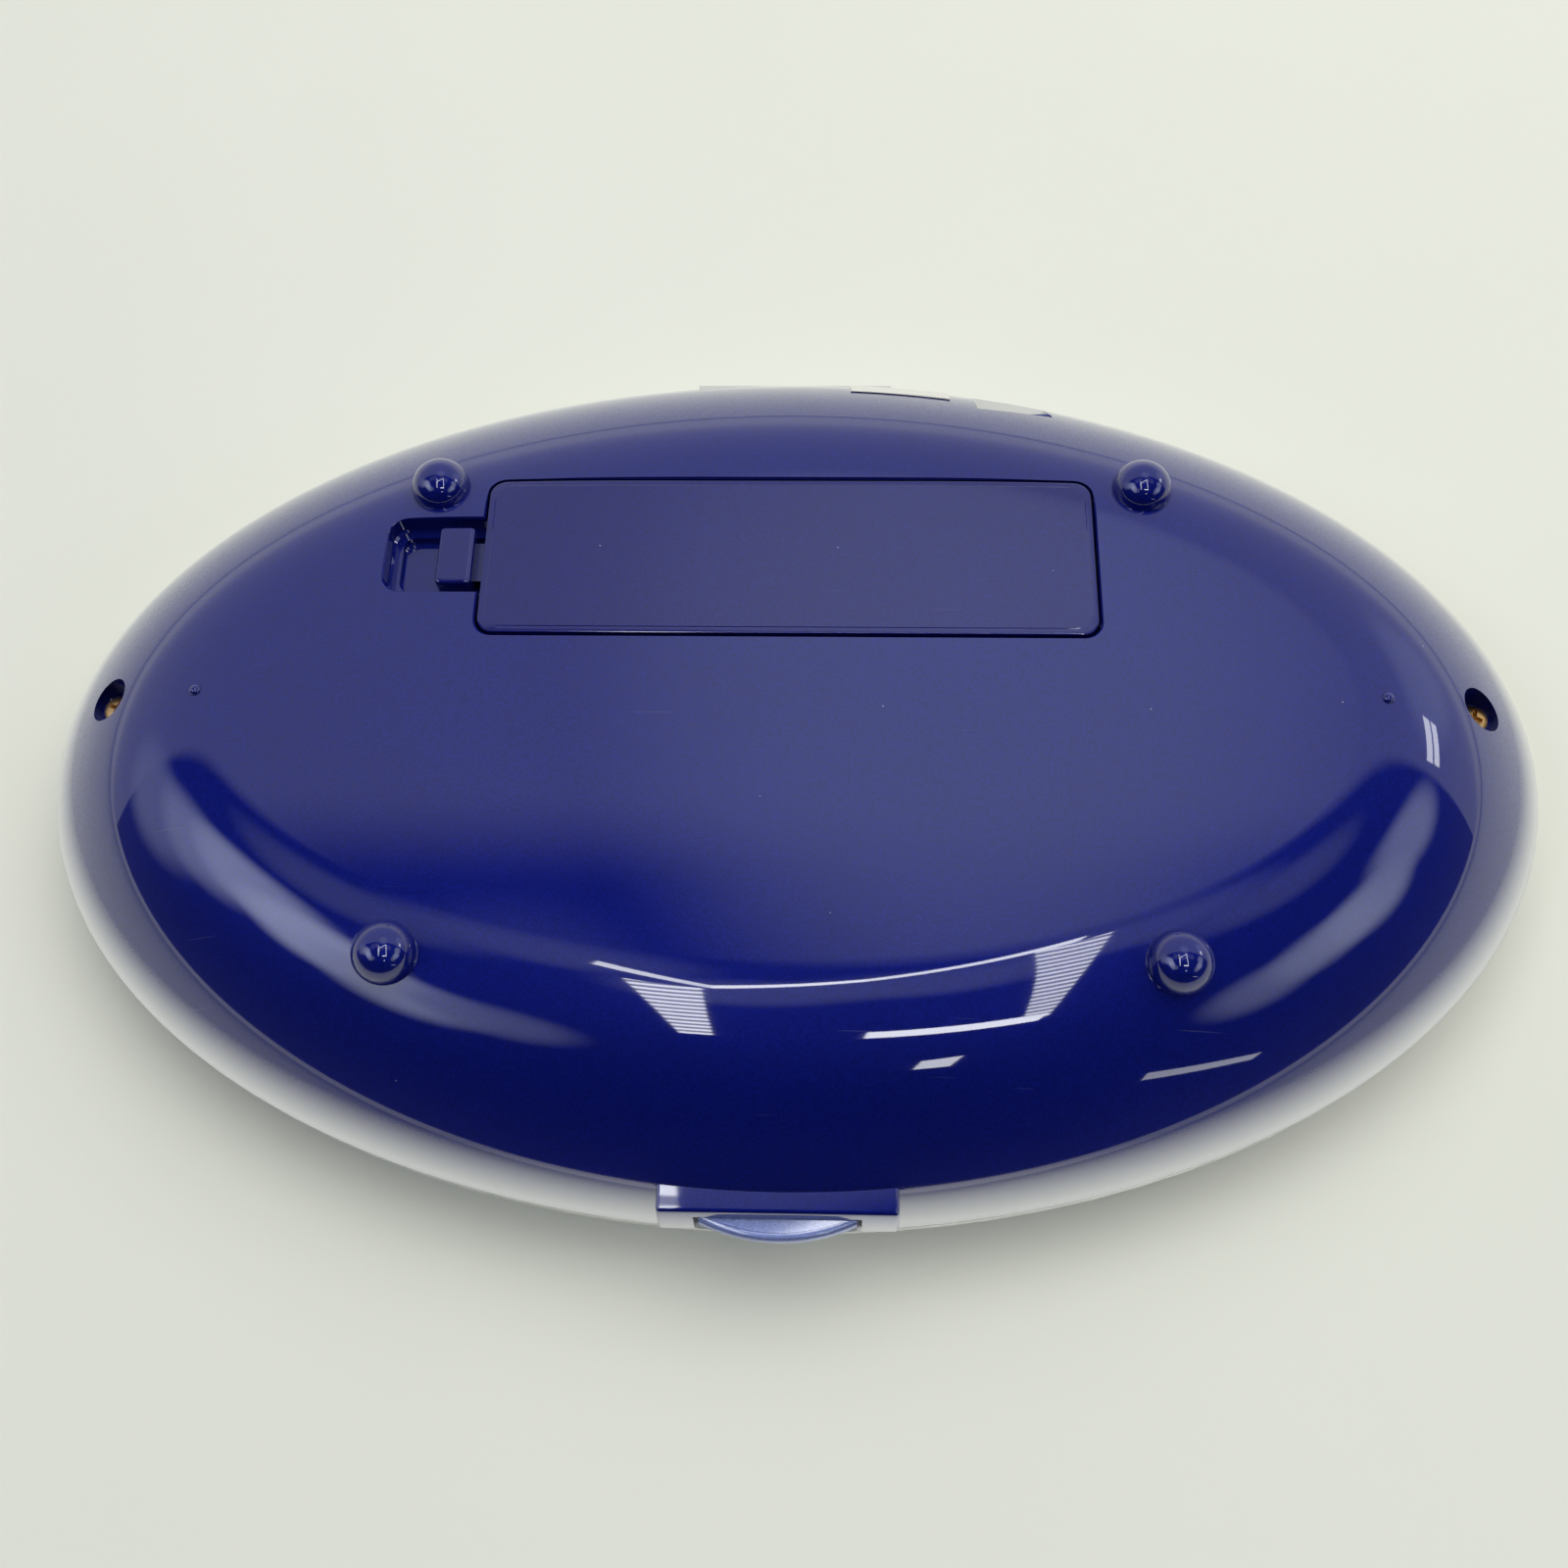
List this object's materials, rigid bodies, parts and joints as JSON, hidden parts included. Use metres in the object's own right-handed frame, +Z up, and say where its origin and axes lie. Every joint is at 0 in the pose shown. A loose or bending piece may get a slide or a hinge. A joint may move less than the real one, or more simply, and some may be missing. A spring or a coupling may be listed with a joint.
{
  "type": "digital bathroom scale",
  "caption": "Compact oval digital bathroom scale with a domed lacquered base, floating platform, battery door, toe-tap switch and unit slide switch.",
  "frame": {"origin": "on the floor, under the middle of the whole outline; the feet stand at z = 0", "axes": "+Z up, +X to the right along the long axis, -Y towards the toe-tap switch and the display, +Y towards the straight rear bar"},
  "size_m": [0.28, 0.175, 0.0454],
  "materials": {
    "lacquer": "high-gloss indigo metallic lacquer",
    "tab_blue": "glossy lighter blue plastic",
    "frame_plastic": "satin pearl-silver plastic",
    "tread_silver": "satin silver-painted plastic",
    "rubber": "matt ribbed rubber",
    "black_plastic": "moulded black plastic",
    "gold_zinc": "yellow zinc plate",
    "spring_steel": "nickel plate",
    "steel": "stamped steel",
    "cell_jacket": "printed metal jacket, no lettering",
    "board_green": "solder mask",
    "lcd_glass": "grey-green reflective display",
    "lens": "clear lens",
    "white_plastic": "moulded white plastic",
    "paper": "blank paper sticker",
    "wire_red": "PVC insulation",
    "wire_white": "PVC insulation",
    "zebra_rubber": "silicone connector"
  },
  "bodies": {
    "base": {"base_shell": "lacquer", "case_screws": "gold_zinc", "rear_label": "paper", "battery_tray": "black_plastic", "battery_1": "cell_jacket", "battery_2": "cell_jacket", "battery_3": "cell_jacket", "battery_4": "cell_jacket", "contact_negative": "spring_steel", "contact_positive": "spring_steel", "contact_bridge": "spring_steel", "battery_lead": "wire_red", "cell_cradles": "black_plastic", "load_cell_1": "steel", "load_cell_2": "steel", "load_cell_3": "steel", "load_cell_4": "steel", "strain_gauges": "white_plastic", "cell_leads": "wire_white", "top_frame": "frame_plastic", "main_board": "board_green", "board_screws": "steel", "processor": "black_plastic", "buzzer": "black_plastic", "lcd_panel": "lcd_glass", "lcd_connectors": "zebra_rubber", "tab_spring": "spring_steel", "tap_switch": "black_plastic", "unit_switch_body": "black_plastic"},
    "cover": {"battery_cover": "lacquer"},
    "latch": {"cover_latch": "lacquer"},
    "platform": {"tread": "tread_silver", "push_pads": "rubber", "mat_left": "rubber", "mat_right": "rubber", "display_bezel": "black_plastic", "display_lens": "lens"},
    "toe_tab": {"toe_tab": "tab_blue"},
    "unit_slider": {"unit_switch": "white_plastic"}
  },
  "joints": [
    {"name": "cover_hinge", "type": "hinge", "parent": "base", "child": "cover", "pos_m": [-0.05613, 0.0312, 0.00395], "axis": [0, 1, 0], "range_deg": [0, 65]},
    {"name": "latch_slide", "type": "slide", "parent": "cover", "child": "latch", "axis": [-1, 0, 0], "range_m": [0, 0.0016], "stiffness_N_per_m": 800, "springref_m": -0.001},
    {"name": "platform_press", "type": "slide", "parent": "base", "child": "platform", "axis": [0, 0, -1], "range_m": [0, 0.0003], "stiffness_N_per_m": 30000, "springref_m": -0.0008},
    {"name": "toe_tap", "type": "hinge", "parent": "base", "child": "toe_tab", "pos_m": [0, -0.0819, 0.0268], "axis": [1, 0, 0], "range_deg": [0, 4], "stiffness_Nm_per_rad": 0.05, "springref_deg": -8.59},
    {"name": "unit_slide", "type": "slide", "parent": "base", "child": "unit_slider", "axis": [1, 0, 0], "range_m": [0, 0.003]}
  ]
}
